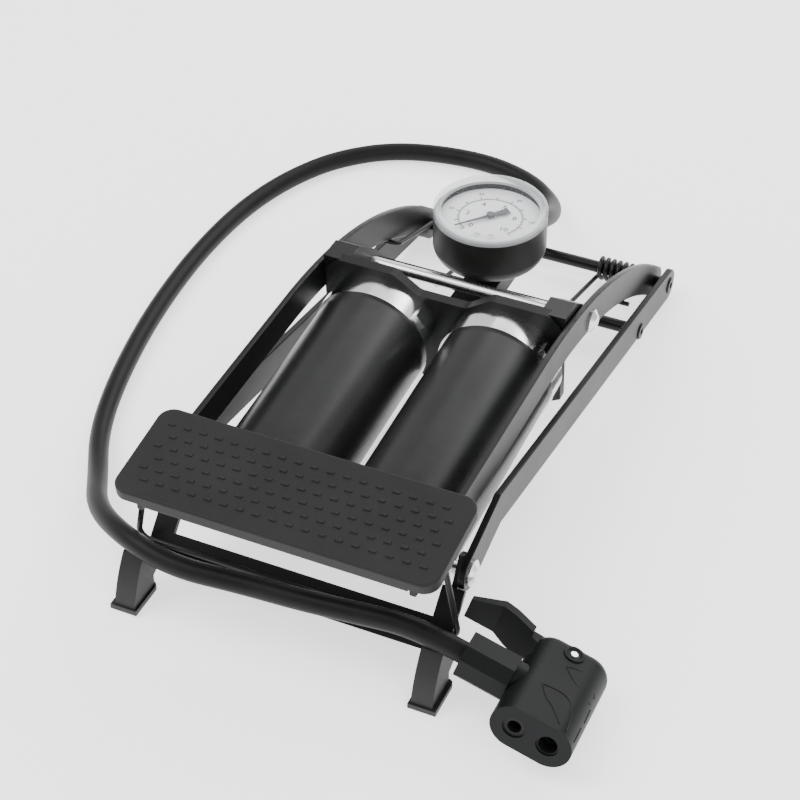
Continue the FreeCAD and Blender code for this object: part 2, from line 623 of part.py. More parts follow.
def make_barrel(name, side):
    turned_on_barrel(name + "_barrel", side, [
        (BORE_RADIUS, "barrel_start"), (BARREL_RADIUS, "barrel_start"),
        (BARREL_RADIUS, "barrel_end"), (BORE_RADIUS, "barrel_end")])
    turned_on_barrel(name + "_mouth_cap", side, [
        ("mouth_bore / 2", "barrel_start - 3"), (BARREL_RADIUS + " - 1", "barrel_start - 3"),
        (BARREL_RADIUS, "barrel_start - 2"), (BARREL_RADIUS, "barrel_start"),
        (BORE_RADIUS, "barrel_start"), (BORE_RADIUS, "barrel_start + mouth_lip"),
        (BORE_RADIUS + " - 2.4", "barrel_start + mouth_lip"), (BORE_RADIUS + " - 2.4", "barrel_start"),
        ("mouth_bore / 2", "barrel_start")])
    ring = turned_on_barrel(name + "_crimp_ring", side, [
        (BARREL_RADIUS, "ring_start"), (BARREL_RADIUS + " + ring_thickness", "ring_start"),
        (BARREL_RADIUS + " + ring_thickness", "barrel_end"), (BARREL_RADIUS, "barrel_end")])
    clasp = new_sketch(ring, "XZ_Plane", "clasp_outline", "-(ring_start + 9)")
    near, far, half = "(%s + ring_thickness / 2)" % BARREL_RADIUS, "(%s + 2.6)" % BARREL_RADIUS, "3.6"
    corners = [(near, "-" + half), (far, "-" + half), (far, half), (near, half)]
    draw_outline(clasp, [("%s * cos(35) - (%s) * sin(35)" % corner, "%s * sin(35) + (%s) * cos(35)" % corner)
                         for corner in corners])
    add_pad(ring, clasp, "clasp", "6")
    head = turned_on_barrel(name + "_barrel_head", side, [
        ("0", "barrel_end - head_thickness"), (BORE_RADIUS, "barrel_end - head_thickness"),
        (BORE_RADIUS, "barrel_end"), ("0", "barrel_end")])
    port = new_sketch(head, "XZ_Plane", "port", "-barrel_end")
    draw_circle(port, "0", "port_height", "air_bore / 2")
    add_pocket(head, port, "port_cut")
    valve = new_body(name + "_check_valve", *barrel_place(side))
    for part, radius, start, length in (("flap", "air_bore * 1.3", "head_thickness", "1.4"),
                                        ("stem", "air_bore / 2 - turning_gap", "0", "head_thickness")):
        lift = "-(barrel_end - %s)" % start
        sketch = new_sketch(valve, "XZ_Plane", part + "_outline", lift)
        draw_circle(sketch, "0", "port_height", radius)
        add_pad(valve, sketch, part, length)


def make_bracket():
    bracket = new_body("head_bracket", *SLANTED)
    sketch = new_sketch(bracket, "XZ_Plane", "outline", "-" + BRACKET_END)
    edge = "(barrel_spacing / 2 + %s + 0.3)" % BARREL_RADIUS
    half = [(edge, "-16"), (edge, "hump_height - 6"), (edge + " - 6", "hump_height"),
            ("24", "hump_height"), ("12", "dip_height")]
    other = [("-(%s)" % across, height) for across, height in reversed(half)]
    draw_outline(sketch, half + other + [("-44", "-24"), ("44", "-24")])
    add_pad(bracket, sketch, "plate", "bracket_thickness")
    round_edges(bracket, "waves", "bracket_thickness", lambda edge: runs_along(edge, ALONG)
                and edge.CenterOfMass.z > value("dip_height") - 1)
    top = "hump_height"
    knuckle = "ear_radius"
    for name, side in SIDES:
        start = "(arm_offset - arm_thickness - side_gap)"
        lift = start + " - ear_width" if side > 0 else "-" + start
        ear = new_sketch(bracket, "YZ_Plane", name + "_ear_outline", lift)
        draw_outline(ear, [
            ("barrel_end + 1", ROD_HEIGHT + " - " + knuckle), ("barrel_end + 1", top),
            (BRACKET_END + " + 9", top + " - 1"),
            (ROD_ALONG + " + %s * 0.8" % knuckle, ROD_HEIGHT + " + %s * 0.6" % knuckle),
            (ROD_ALONG, ROD_HEIGHT + " - " + knuckle, ROD_ALONG, ROD_HEIGHT, -1)])
        add_pad(bracket, ear, name + "_ear", "ear_width")
    bore_across(bracket, "rod_hole", ROD_ALONG, ROD_HEIGHT, "lever_rod_diameter / 2 + turning_gap")
    for name, side in SIDES:
        port = new_sketch(bracket, "XZ_Plane", name + "_port", "-" + BRACKET_END)
        draw_circle(port, ("" if side > 0 else "-") + "barrel_spacing / 2", "port_height", "air_bore / 2")
        add_pocket(bracket, port, name + "_port_cut", "bracket_thickness + 1", backwards=True)


def make_manifold():
    """The block that joins both barrels' ports to the gauge and the hose."""
    manifold = new_body("air_manifold")
    block = new_sketch(manifold, "YZ_Plane", "block_outline")
    rear = BRACKET_END + " + manifold_depth"
    draw_outline(block, [level_spot(BRACKET_END, "manifold_bottom"), level_spot(rear, "manifold_bottom"),
                         level_spot(rear, "manifold_top"), level_spot(BRACKET_END, "manifold_top")])
    add_pad(manifold, block, "block", "manifold_width", centred=True)
    tongue = new_sketch(manifold, "YZ_Plane", "tongue_outline")
    front = level_spot(BRACKET_END + " + 4", "0")[0]
    low = "tongue_top_z - tongue_height"
    draw_outline(tongue, [(front, low), ("tongue_end_y", low), ("tongue_end_y", "tongue_top_z"),
                          (front, "tongue_top_z")])
    add_pad(manifold, tongue, "tongue", "tongue_width", centred=True)
    gallery = new_sketch(manifold, "YZ_Plane", "gallery_outline")
    middle = level_spot(BRACKET_END + " + manifold_depth / 2", "port_height")
    draw_circle(gallery, middle[0], middle[1], "air_bore / 2")
    cut = add_pocket(manifold, gallery, "gallery", "barrel_spacing + air_bore")
    cut.Midplane = True
    stem = new_sketch(manifold, "XY_Plane", "stem_hole", "tongue_top_z")
    draw_circle(stem, "0", "gauge_y", "stem_diameter / 2 - 1.5")
    add_pocket(manifold, stem, "stem_cut", "tongue_height - 3")
    outlet = new_sketch(manifold, "XZ_Plane", "outlet_hole", "-tongue_end_y")
    draw_circle(outlet, "0", HOSE_Z, "air_bore / 2")
    add_pocket(manifold, outlet, "outlet_cut", "tongue_end_y - (%s)" % middle[0], backwards=True)
    for name, side in SIDES:
        inlet = new_sketch(manifold, "XZ_Plane", name + "_inlet", "-(%s)" % middle[0])
        draw_circle(inlet, ("" if side > 0 else "-") + "barrel_spacing / 2", middle[1], "air_bore / 2")
        add_pocket(manifold, inlet, name + "_inlet_cut", "manifold_depth", backwards=True)


HOSE_Z = "(tongue_top_z - tongue_height / 2)"


def make_hose_fitting():
    """A hexagon and nipple in the manifold's rear end, and the ferrule over the hose."""
    fitting = new_body("hose_fitting", "0", "tongue_end_y", HOSE_Z)
    sketch = new_sketch(fitting, "XZ_Plane", "hexagon", "-5")
    corners = [("5.6 * cos(%d)" % angle, "5.6 * sin(%d)" % angle) for angle in range(30, 390, 60)]
    draw_outline(sketch, corners)
    add_pad(fitting, sketch, "hexagon_pad", "5")
    nipple = new_sketch(fitting, "XZ_Plane", "nipple", "-7")
    draw_circle(nipple, "0", "0", "hose_diameter / 2")
    add_pad(fitting, nipple, "nipple_pad", "3")
    bore = new_sketch(fitting, "XZ_Plane", "bore", "-7")
    draw_circle(bore, "0", "0", "air_bore / 2")
    add_pocket(fitting, bore, "bore_cut")
    lip = "hose_diameter / 2 + turning_gap"
    turned("hose_ferrule", [(lip, "5"), ("hose_diameter / 2 + 1.6", "5"), ("hose_diameter / 2 + 1.6", "13"),
                            ("hose_diameter / 2 + 0.9", "15"), (lip, "15")],
           "0", "tongue_end_y", HOSE_Z, role="XY_Plane", axis="V_Axis")


# ---------------------------------------------------------------- pistons

PISTON_TOP = "(barrel_end - head_thickness - 1.4 - piston_gap)"


def make_piston(name, side):
    outer = "(%s - piston_clearance)" % BORE_RADIUS
    low = "(%s - piston_length)" % PISTON_TOP
    groove_top, depth = "(%s - 2.5)" % PISTON_TOP, "(%s - 3)" % outer
    turned_on_barrel(name + "_piston", side, [
        ("0", PISTON_TOP), (outer, PISTON_TOP), (outer, groove_top), (depth, groove_top),
        (depth, groove_top + " - seal_width"), (outer, groove_top + " - seal_width"), (outer, low),
        (depth + " - piston_skirt_wall", low), (depth + " - piston_skirt_wall", PISTON_TOP + " - piston_crown"),
        ("0", PISTON_TOP + " - piston_crown")])
    edge = BORE_RADIUS + " - turning_gap"
    turned_on_barrel(name + "_piston_seal", side, [
        (depth, groove_top), (edge, groove_top), (edge + " - 0.6", groove_top + " - seal_width"),
        (depth, groove_top + " - seal_width")])


def make_piston_rod(name, side):
    sign = "" if side > 0 else "-"
    rod = new_body(name + "_piston_rod", sign + "barrel_spacing / 2", "pin_y", "pin_z", "axis_tilt")
    eye = new_sketch(rod, "YZ_Plane", "eye_outline")
    draw_circle(eye, "0", "0", "rod_eye_diameter / 2")
    add_pad(rod, eye, "eye", "rod_eye_width", centred=True)
    shank = new_sketch(rod, "XY_Plane", "shank_outline", "-axis_drop")
    end = "(%s - piston_crown - 4)" % PISTON_TOP
    radius, foot = "piston_rod_diameter / 2", "rod_foot_diameter / 2"
    draw_outline(shank, [("0", "rod_eye_diameter / 3"), (radius, "rod_eye_diameter / 3"),
                         (radius, end + " - 4"), (foot, end + " - 4"), (foot, end), ("0", end)])
    add_turning(rod, shank, "shank", "V_Axis")
    hole = new_sketch(rod, "YZ_Plane", "pin_hole")
    draw_circle(hole, "0", "0", "pin_diameter / 2 + turning_gap")
    add_pocket(rod, hole, "pin_hole_cut")


# ---------------------------------------------------------------- gauge

GAUGE_RADIUS = "(gauge_diameter / 2)"
GAUGE = ("0", "gauge_y", "gauge_top_z")


def turned_on_gauge(label, steps):
    return turned(label, steps, *GAUGE)


def make_gauge():
    outer, wall = GAUGE_RADIUS, "gauge_wall"
    seat, rim = "-5.2", "(%s - 1)" % GAUGE_RADIUS
    bottom = "-gauge_depth"
    turned_on_gauge("gauge_cup", [
        (rim + " - " + wall, "-4"), (rim, "-4"), (rim, seat), (outer, seat), (outer, "-21"),
        (outer + " - 9.5", bottom + " + 2.2", outer + " - 12", "-19.7", -1),
        ("8", bottom), ("0", bottom), ("0", bottom + " + " + wall), ("8", bottom + " + " + wall),
        (outer + " - 10.5", bottom + " + 2.2 + " + wall),
        (outer + " - " + wall + " - 1.4", "-21", outer + " - 12.4", "-20.6", 1),
        (outer + " - " + wall + " - 1.4", "-9"), (rim + " - " + wall, "-9")])
    turned_on_gauge("gauge_lens", [
        ("0", "-2 - lens_thickness"), (rim + " - 2.6", "-2 - lens_thickness"), (rim, "-4"), (rim, seat),
        (outer, seat), (outer, "-1.2"), (outer + " - 0.9", "-0.1"), (outer + " - 2", "-0.1"),
        (outer + " - bezel_width", "-2"), ("0", "-2")])
    dial = "-(dial_drop + 2.4)"
    turned_on_gauge("gauge_dial", [
        ("0.9", dial + " - 0.8"), (rim + " - %s - turning_gap" % wall, dial + " - 0.8"),
        (rim + " - %s - turning_gap" % wall, dial), ("0.9", dial)])
    movement = new_body("gauge_movement", *GAUGE)
    plate = new_sketch(movement, "XY_Plane", "plate_outline", dial + " - 7.8")
    draw_outline(plate, [("-9", "-6"), ("9", "-6"), ("9", "6"), ("-9", "6")])
    add_pad(movement, plate, "plate", "7")
    spindle = new_sketch(movement, "XY_Plane", "spindle_outline", dial + " - 2")
    draw_circle(spindle, "0", "0", "0.8")
    add_pad(movement, spindle, "spindle", "2.9")
    tube = document.addObject("Part::Torus", "bourdon_tube")
    register(tube, "bourdon_tube", "0", "gauge_y", "gauge_top_z - gauge_depth + 8.4")
    for field, expression in (("Radius1", GAUGE_RADIUS + " - 9.5"), ("Radius2", "1.9")):
        setattr(tube, field, value(expression))
        tube.setExpression(field, full(expression))
    tube.Angle3 = 270
    needle = new_body("gauge_needle", "0", "gauge_y", "gauge_top_z - dial_drop - 1.4")
    shape = new_sketch(needle, "XY_Plane", "outline")
    tip, tail = "needle_length", "-needle_tail"
    corners = [(tip, "-0.2"), (tip, "0.2"), ("0", "0.8"), (tail, "2.1"), (tail, "-2.1"), ("0", "-0.8")]
    draw_outline(shape, [("%s * cos(needle_angle) - (%s) * sin(needle_angle)" % corner,
                          "%s * sin(needle_angle) + (%s) * cos(needle_angle)" % corner)
                         for corner in corners])
    add_pad(needle, shape, "blade", "0.5")
    hub = new_sketch(needle, "XY_Plane", "hub_outline")
    draw_circle(hub, "0", "0", "1.9")
    add_pad(needle, hub, "hub", "1.3")
    screws = new_body("dial_screws", "0", "gauge_y", "gauge_top_z")
    for name, across in (("left", "-dial_screw_gap"), ("right", "dial_screw_gap")):
        screw = new_sketch(screws, "XY_Plane", name + "_outline", dial)
        draw_circle(screw, across + " * cos(dial_turn) + dial_screw_drop * sin(dial_turn)",
                    across + " * sin(dial_turn) - dial_screw_drop * cos(dial_turn)", "1.5")
        add_pad(screws, screw, name, "0.6")
    thread, foot = "stem_diameter / 2 - 1.5", "tongue_top_z - tongue_height + 3"
    stem = [("0", foot), (thread, foot), (thread, "tongue_top_z"), ("stem_diameter / 2", "tongue_top_z"),
            ("stem_diameter / 2", "gauge_top_z - gauge_depth"), ("0", "gauge_top_z - gauge_depth")]
    turned("gauge_stem", stem, "0", "gauge_y", "0")


# ---------------------------------------------------------------- hose and valve head

HOSE_ROUTE = [
    (0, 98.5, 38), (0, 120, 38), (1, 145, 30.5), (-2, 170, 17), (-11, 193, 7.2),
    (-31, 211.5, 4.8), (-62, 219, 4.8), (-105, 211, 4.8), (-132.6, 189.3, 4.8),
    (-148.6, 160.7, 4.8), (-157.9, 126.5, 4.8), (-160.6, 86, 4.8), (-158.6, 46.2, 4.8),
    (-153.6, 8, 4.8), (-144.5, -33.8, 4.8), (-134, -65, 4.8), (-117, -94, 9.5),
    (-99.5, -123.5, 21.2), (-73, -143.5, 31), (-46, -150, 29.8), (-18, -146.5, 29.2),
    (10, -145.4, 29.6), (36, -144.8, 32), (60.4, -143.1, 33.03), (81.5, -143.1, 26.9),
]


def make_hose():
    points = [Vector(*point) for point in HOSE_ROUTE]
    radii = free_radii(points)
    print("hose radii:", " ".join("%.0f" % radius for radius in radii))
    path = rounded_path(points, radii)
    radius = value("hose_diameter / 2")
    hose = sweep_round(path, radius)
    print("hose length %.1f, volume over section times length %.4f"
          % (path.Length, hose.Volume / (math.pi * radius ** 2 * path.Length)))
    add_shape("hose", hose)


def in_valve(item):
    """Place a sub-part in the valve head's frame: X on along the hose, ports toward -Y."""
    turn = Rotation(ALONG, value("valve_tilt")) * Rotation(ACROSS, -value("valve_pitch"))
    item.Placement = Placement(Vector(value("entry_x"), value("entry_y"), value("entry_z")), turn)
    for part in ("x", "y", "z"):
        item.setExpression("Placement.Base." + part, "Size.entry_" + part)
    return item


def make_valve_head():
    first, last = "(port_offset - port_spacing / 2)", "(port_offset + port_spacing / 2)"
    front = first + " - valve_radius"
    body = in_valve(new_body("valve_head_body"))
    outline = new_sketch(body, "XZ_Plane", "outline", "-valve_tail")
    draw_outline(outline, [(first, "-valve_radius"), (last, "-valve_radius"),
                           (last, "valve_radius", last, "0", 1), (first, "valve_radius"),
                           (first, "-valve_radius", first, "0", 1)][1:])
    add_pad(body, outline, "block", "valve_tail + port_face")
    round_edges(body, "tail_round", "valve_radius * 0.6",
                lambda edge: all(abs(vertex.Y - value("valve_tail")) < 0.01 for vertex in edge.Vertexes))
    slot = new_sketch(body, "XY_Plane", "slot_outline", "-(root_height / 2 + side_gap)")
    draw_outline(slot, [(front + " - 1", "thumb_pivot - 7"), ("port_offset + 6.5", "thumb_pivot - 7"),
                        ("port_offset + 6.5", "valve_tail + 1"), (front + " - 1", "valve_tail + 1")])
    add_pocket(body, slot, "slot", "root_height + side_gap * 2", backwards=True)
    for name, spot in (("near", first), ("far", last)):
        recess = new_sketch(body, "XZ_Plane", name + "_recess", "port_face")
        draw_circle(recess, spot, "0", "port_bore / 2 + seal_wall")
        add_pocket(body, recess, name + "_recess_cut", "port_depth")
        bore = new_sketch(body, "XZ_Plane", name + "_bore", "port_face")
        draw_circle(bore, spot, "0", "air_bore / 2")
        add_pocket(body, bore, name + "_bore_cut", "port_face")
    pin = new_sketch(body, "XY_Plane", "pin_hole")
    draw_circle(pin, "port_offset", "thumb_pivot", "thumb_pin_diameter / 2")
    add_pocket(body, pin, "pin_hole_cut")
    feed = new_sketch(body, "YZ_Plane", "feed", front)
    draw_circle(feed, "-(port_face / 2)", "0", "air_bore / 2")
    add_pocket(body, feed, "feed_cut", "port_spacing + valve_radius", backwards=True)

    collar = in_valve(new_body("hose_collar"))
    sketch = new_sketch(collar, "YZ_Plane", "outline")
    wide, high, cut = "collar_width / 2", "collar_height / 2", "collar_height * 0.27"
    draw_outline(sketch, [("-%s" % wide, "-%s + %s" % (high, cut)), ("-%s + %s" % (wide, cut), "-" + high),
                          ("%s - %s" % (wide, cut), "-" + high), (wide, "-%s + %s" % (high, cut)),
                          (wide, "%s - %s" % (high, cut)), ("%s - %s" % (wide, cut), high),
                          ("-%s + %s" % (wide, cut), high), ("-" + wide, "%s - %s" % (high, cut))])
    add_pad(collar, sketch, "block", front)
    bore = new_sketch(collar, "YZ_Plane", "bore")
    draw_circle(bore, "0", "0", "air_bore / 2")
    add_pocket(collar, bore, "bore_cut")

    pin = in_valve(new_body("thumb_lever_pin"))
    sketch = new_sketch(pin, "XY_Plane", "outline")
    draw_circle(sketch, "port_offset", "thumb_pivot", "thumb_pin_diameter / 2")
    add_pad(pin, sketch, "shank", "valve_radius * 2 + 1", centred=True)
    seals = in_valve(new_body("port_seals"))
    for name, spot, inner in (("near", first, "port_bore * 0.36"), ("far", last, "port_bore / 2")):
        ring = new_sketch(seals, "XZ_Plane", name + "_ring", "port_face - 0.8")
        draw_circle(ring, spot, "0", "port_bore / 2 + seal_wall")
        draw_circle(ring, spot, "0", inner)
        add_pad(seals, ring, name + "_ring_pad", "-(port_depth - 0.8)")
    for item in seals.Group:
        if item.TypeId == "PartDesign::Pad":
            item.Reversed = True
            item.setExpression("Length", full("port_depth - 0.8"))


def make_thumb_lever():
    """A thumb paddle on edge, kinked at two thirds, its root in the valve head's slot."""
    lever = in_valve(new_body("valve_thumb_lever"))
    reach, thick = "thumb_length", "thumb_thickness"
    pivot = ("port_offset", "thumb_pivot")
    kink = ("port_offset - %s * 0.72" % reach, "thumb_pivot + thumb_bow")
    tip = ("port_offset - " + reach, "thumb_pivot + thumb_spread")
    root = new_sketch(lever, "XY_Plane", "root_outline")
    draw_outline(root, [
        (pivot[0], "thumb_pivot - 5"), (pivot[0], "thumb_pivot + 5", pivot[0], pivot[1], 1),
        ("port_offset - 19", "thumb_pivot + 6.2"), ("port_offset - 19", "thumb_pivot + 2.2")])
    add_pad(lever, root, "root", "root_height", centred=True)
    blade = new_sketch(lever, "XY_Plane", "blade_outline")
    draw_outline(blade, [
        ("port_offset - 18.5", "thumb_pivot + 2.2"), ("port_offset - 18.5", "thumb_pivot + 2.2 + " + thick),
        (kink[0], kink[1] + " + " + thick), (tip[0], tip[1] + " + " + thick + " * 0.7"),
        (tip[0], tip[1]), kink])
    add_pad(lever, blade, "blade", "thumb_width", centred=True)
    trim = new_sketch(lever, "XZ_Plane", "trim_outline", "-(valve_tail + thumb_bow * 2)")
    high = "thumb_width / 2"
    draw_outline(trim, [(kink[0] + " + 6", high), (tip[0] + " - 1", high + " * 0.55"),
                        (tip[0] + " - 1", high + " + 1"), (kink[0] + " + 6", high + " + 1")])
    add_pocket(lever, trim, "upper_trim", "valve_tail + thumb_bow * 2", backwards=True)
    under = new_sketch(lever, "XZ_Plane", "under_outline", "-(valve_tail + thumb_bow * 2)")
    draw_outline(under, [(kink[0] + " + 6", "-" + high), (kink[0] + " + 6", "-%s - 1" % high),
                         (tip[0] + " - 1", "-%s - 1" % high), (tip[0] + " - 1", "-%s * 0.55" % high)])
    add_pocket(lever, under, "under_trim", "valve_tail + thumb_bow * 2", backwards=True)
    hole = new_sketch(lever, "XY_Plane", "pin_hole")
    draw_circle(hole, pivot[0], pivot[1], "thumb_pin_diameter / 2 + turning_gap")
    add_pocket(lever, hole, "pin_hole_cut")


# ---------------------------------------------------------------- the whole pump

make_rails()
make_riveted_rod("rear_hinge_rod", "hinge_y", HINGE_Z)
make_riveted_rod("base_cross_rod", "cross_rod_y", "cross_rod_z")
make_headed_pin("front_pivot_pin", "pin_y", "pin_z", "pin_diameter / 2", "rail_offset",
                "pin_head_diameter / 2", "pin_head_height")
make_stand()
make_feet()
make_arms()
make_headed_pin("cylinder_pivot_rod", "lever_rod_y", "lever_rod_z", "lever_rod_diameter / 2",
                "arm_offset", "lever_head_diameter / 2", "lever_head_height")
make_pedal()
make_locking_wire()
make_springs()
for side_name, side_sign in SIDES:
    make_barrel(side_name, side_sign)
    make_piston(side_name, side_sign)
    make_piston_rod(side_name, side_sign)
make_bracket()
make_manifold()
make_hose_fitting()
make_gauge()
make_hose()
make_valve_head()
make_thumb_lever()

document.recompute()
for item in document.Objects:
    if "Invalid" in item.State or "Error" in item.State:
        raise RuntimeError("failed to build: " + item.Label)
for item in subparts:
    if item.Shape.isNull() or not item.Shape.isValid():
        raise RuntimeError("not a valid solid: " + item.Label)

os.makedirs("parts", exist_ok=True)
for item in subparts:
    item.Shape.exportStep("parts/" + item.Label + ".step")
print(len(subparts), "sub-parts written")
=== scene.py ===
import math

import bpy
from mathutils import Matrix, Vector


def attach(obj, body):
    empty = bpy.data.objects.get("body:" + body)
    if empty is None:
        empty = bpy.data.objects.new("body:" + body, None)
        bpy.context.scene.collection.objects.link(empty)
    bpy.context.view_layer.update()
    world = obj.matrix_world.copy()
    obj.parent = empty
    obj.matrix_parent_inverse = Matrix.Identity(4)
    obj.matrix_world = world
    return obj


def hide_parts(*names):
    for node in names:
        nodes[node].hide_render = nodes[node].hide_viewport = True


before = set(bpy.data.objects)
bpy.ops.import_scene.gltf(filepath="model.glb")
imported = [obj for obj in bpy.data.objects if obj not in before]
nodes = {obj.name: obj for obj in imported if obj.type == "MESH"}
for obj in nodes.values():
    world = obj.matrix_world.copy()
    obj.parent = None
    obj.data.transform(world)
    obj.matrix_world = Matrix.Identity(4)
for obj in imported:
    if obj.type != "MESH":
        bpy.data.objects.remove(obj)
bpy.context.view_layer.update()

MM = 0.001
GAUGE_CENTRE = (0, 77.5)
DIAL_LEVEL = 74.0

# ---------------------------------------------------------------- camera and light


def look(item, place, target):
    item.location = place
    item.rotation_euler = (Vector(target) - Vector(place)).to_track_quat("-Z", "Y").to_euler()


def make_camera():
    data = bpy.data.cameras.new("camera")
    camera = bpy.data.objects.new("camera", data)
    bpy.context.scene.collection.objects.link(camera)
    look(camera, (0.3058, -0.7013, 0.6530), (-0.00604, -0.01157, 0.02857))
    data.sensor_width = 36
    data.lens = 97.7
    bpy.context.scene.camera = camera


def make_lamp(name, place, size, power, shade=(1, 1, 1)):
    data = bpy.data.lights.new(name, "AREA")
    data.shape = "RECTANGLE"
    data.size, data.size_y = size
    data.energy = power
    data.color = shade
    lamp = bpy.data.objects.new(name, data)
    bpy.context.scene.collection.objects.link(lamp)
    look(lamp, place, (0, 0, 0.03))


def make_studio():
    make_lamp("key_light", (-0.75, -0.35, 1.15), (0.9, 0.9), 13)
    make_lamp("fill_light", (1.0, -0.7, 0.75), (0.9, 0.7), 7)
    make_lamp("rear_light", (0.15, 1.15, 0.85), (1.3, 0.6), 12)
    world = bpy.data.worlds.new("studio")
    world.use_nodes = True
    world.node_tree.nodes["Background"].inputs[0].default_value = (1, 1, 1, 1)
    world.node_tree.nodes["Background"].inputs[1].default_value = 0.95
    bpy.context.scene.world = world
    bpy.ops.mesh.primitive_plane_add(size=24, location=(0, 0, -0.0004))
    floor = bpy.context.object
    floor.name = "floor"
    return floor


# ---------------------------------------------------------------- shader maths


class Value:
    """A number socket that adds Math nodes when it is used in an expression."""

    def __init__(self, finish, socket):
        self.finish, self.socket = finish, socket

    def maths(self, operation, first, second=None):
        settings = {"operation": operation}
        return self.finish.add("ShaderNodeMath", settings, {0: first, 1: second})

    def __add__(self, other):
        return self.maths("ADD", self, other)

    def __radd__(self, other):
        return self.maths("ADD", other, self)

    def __sub__(self, other):
        return self.maths("SUBTRACT", self, other)

    def __rsub__(self, other):
        return self.maths("SUBTRACT", other, self)

    def __mul__(self, other):
        return self.maths("MULTIPLY", self, other)

    def __rmul__(self, other):
        return self.maths("MULTIPLY", other, self)

    def above(self, other):
        return self.maths("GREATER_THAN", self, other)


class Finish:
    """One procedural material, built node by node."""

    def __init__(self, name):
        self.material = bpy.data.materials.new(name)
        self.material.use_nodes = True
        self.tree = self.material.node_tree
        self.shader = self.tree.nodes["Principled BSDF"]

    def add(self, kind, settings=None, inputs=None, output=0):
        node = self.tree.nodes.new(kind)
        for field, setting in (settings or {}).items():
            if field == "stops":
                self.set_ramp(node.color_ramp, setting)
            else:
                setattr(node, field, setting)
        for key, given in (inputs or {}).items():
            self.feed(node.inputs[key], given)
        return Value(self, node.outputs[output])

    def set_ramp(self, ramp, stops):
        while len(ramp.elements) < len(stops):
            ramp.elements.new(0.5)
        for element, (place, shade) in zip(ramp.elements, stops):
            element.position = place
            element.color = (*shade, 1) if len(shade) == 3 else shade

    def feed(self, socket, given):
        if given is None:
            return
        if isinstance(given, Value):
            self.tree.links.new(given.socket, socket)
        elif isinstance(given, tuple) and len(given) == 3 and socket.type == "RGBA":
            socket.default_value = (*given, 1)
        else:
            socket.default_value = given

    def set(self, **inputs):
        for name, given in inputs.items():
            self.feed(self.shader.inputs[name.replace("_", " ")], given)
        return self

    def place(self):
        return self.add("ShaderNodeTexCoord", output=3)

    def noise(self, scale, detail=3.0, rough=0.5, stretch=None):
        vector = self.place()
        if stretch:
            vector = self.add("ShaderNodeMapping", {}, {"Vector": vector, "Scale": stretch})
        return self.add("ShaderNodeTexNoise", {}, {"Vector": vector, "Scale": scale, "Detail": detail,
                                                   "Roughness": rough})

    def ramp(self, factor, stops):
        return self.add("ShaderNodeValToRGB", {"stops": stops}, {0: factor})

    def band(self, value, low, high):
        return self.add("ShaderNodeMapRange", {}, {"Value": value, "To Min": low, "To Max": high})

    def bump(self, height, distance, strength=1.0, under=None):
        normal = self.add("ShaderNodeBump", {}, {"Height": height, "Distance": distance,
                                                 "Strength": strength, "Normal": under})
        self.feed(self.shader.inputs["Normal"], normal)
        return normal


def worn(name, shade, rough, grain, grain_depth, spread=0.35, metal=0.0, shine=0.5, spots=None):
    """A coated, moulded or plated surface: mottled colour, uneven gloss and fine grain."""
    finish = Finish(name)
    cloud = finish.noise(38, 4, 0.6)
    fine = finish.noise(grain, 2, 0.5)
    dark = tuple(channel * (1 - spread) for channel in shade)
    light = tuple(min(1, channel * (1 + spread)) for channel in shade)
    colour = finish.ramp(cloud, [(0.3, dark), (0.5, shade), (0.72, light)])
    gloss = finish.band(cloud, rough - 0.06, rough + 0.07) + (fine - 0.5) * 0.08
    finish.set(Base_Color=colour, Roughness=gloss, Metallic=metal, Specular_IOR_Level=shine)
    height = fine
    if spots:
        speck = finish.add("ShaderNodeTexVoronoi", {}, {"Vector": finish.place(), "Scale": spots})
        height = fine + speck.above(0.35) * 0.4
    finish.bump(height, grain_depth)
    return finish.material


# ---------------------------------------------------------------- materials


def make_finishes():
    return {
        "powder_coat": worn("powder_coat", (0.004, 0.0042, 0.0044), 0.38, 1500, 0.00002, 0.25, shine=0.22),
        "barrel_paint": worn("barrel_paint", (0.010, 0.0102, 0.0106), 0.3, 500, 0.000002, 0.2, shine=0.35),
        "moulded_foot": worn("moulded_foot", (0.009, 0.0092, 0.0095), 0.5, 2200, 0.00003, 0.25, shine=0.35),
        "moulded_valve": worn("moulded_valve", (0.004, 0.0046, 0.005), 0.46, 2600, 0.00003, 0.2, shine=0.14),
        "pad_rubber": worn("pad_rubber", (0.010, 0.0102, 0.0104), 0.58, 1800, 0.00004, 0.25, shine=0.25,
                           spots=900),
        "seal_rubber": worn("seal_rubber", (0.006, 0.006, 0.006), 0.55, 1800, 0.00003, shine=0.2),
        "gauge_case": worn("gauge_case", (0.013, 0.013, 0.0125), 0.4, 1600, 0.00002, 0.2, shine=0.25),
        "spring_wire": worn("spring_wire", (0.012, 0.012, 0.013), 0.36, 1700, 0.00002, metal=0.3, shine=0.4),
        "zinc_plate": worn("zinc_plate", (0.68, 0.7, 0.68), 0.26, 1200, 0.00001, 0.08, metal=1.0),
        "cast_alloy": worn("cast_alloy", (0.36, 0.37, 0.38), 0.36, 1400, 0.00004, 0.1, metal=1.0),
        "brass": worn("brass", (0.72, 0.52, 0.22), 0.3, 1400, 0.00002, 0.1, metal=1.0),
        "needle_paint": worn("needle_paint", (0.07, 0.075, 0.085), 0.45, 900, 0.00001, 0.05),
        "print_ink": worn("print_ink", (0.03, 0.035, 0.045), 0.6, 900, 0.00001, 0.05),
        "hose_rubber": hose_finish(),
        "chrome": chrome_finish(),
        "dial_face": worn("dial_face", (0.86, 0.87, 0.9), 0.5, 1300, 0.00001, 0.02),
        "clear_lens": lens_finish(),
        "white_floor": floor_finish(),
    }


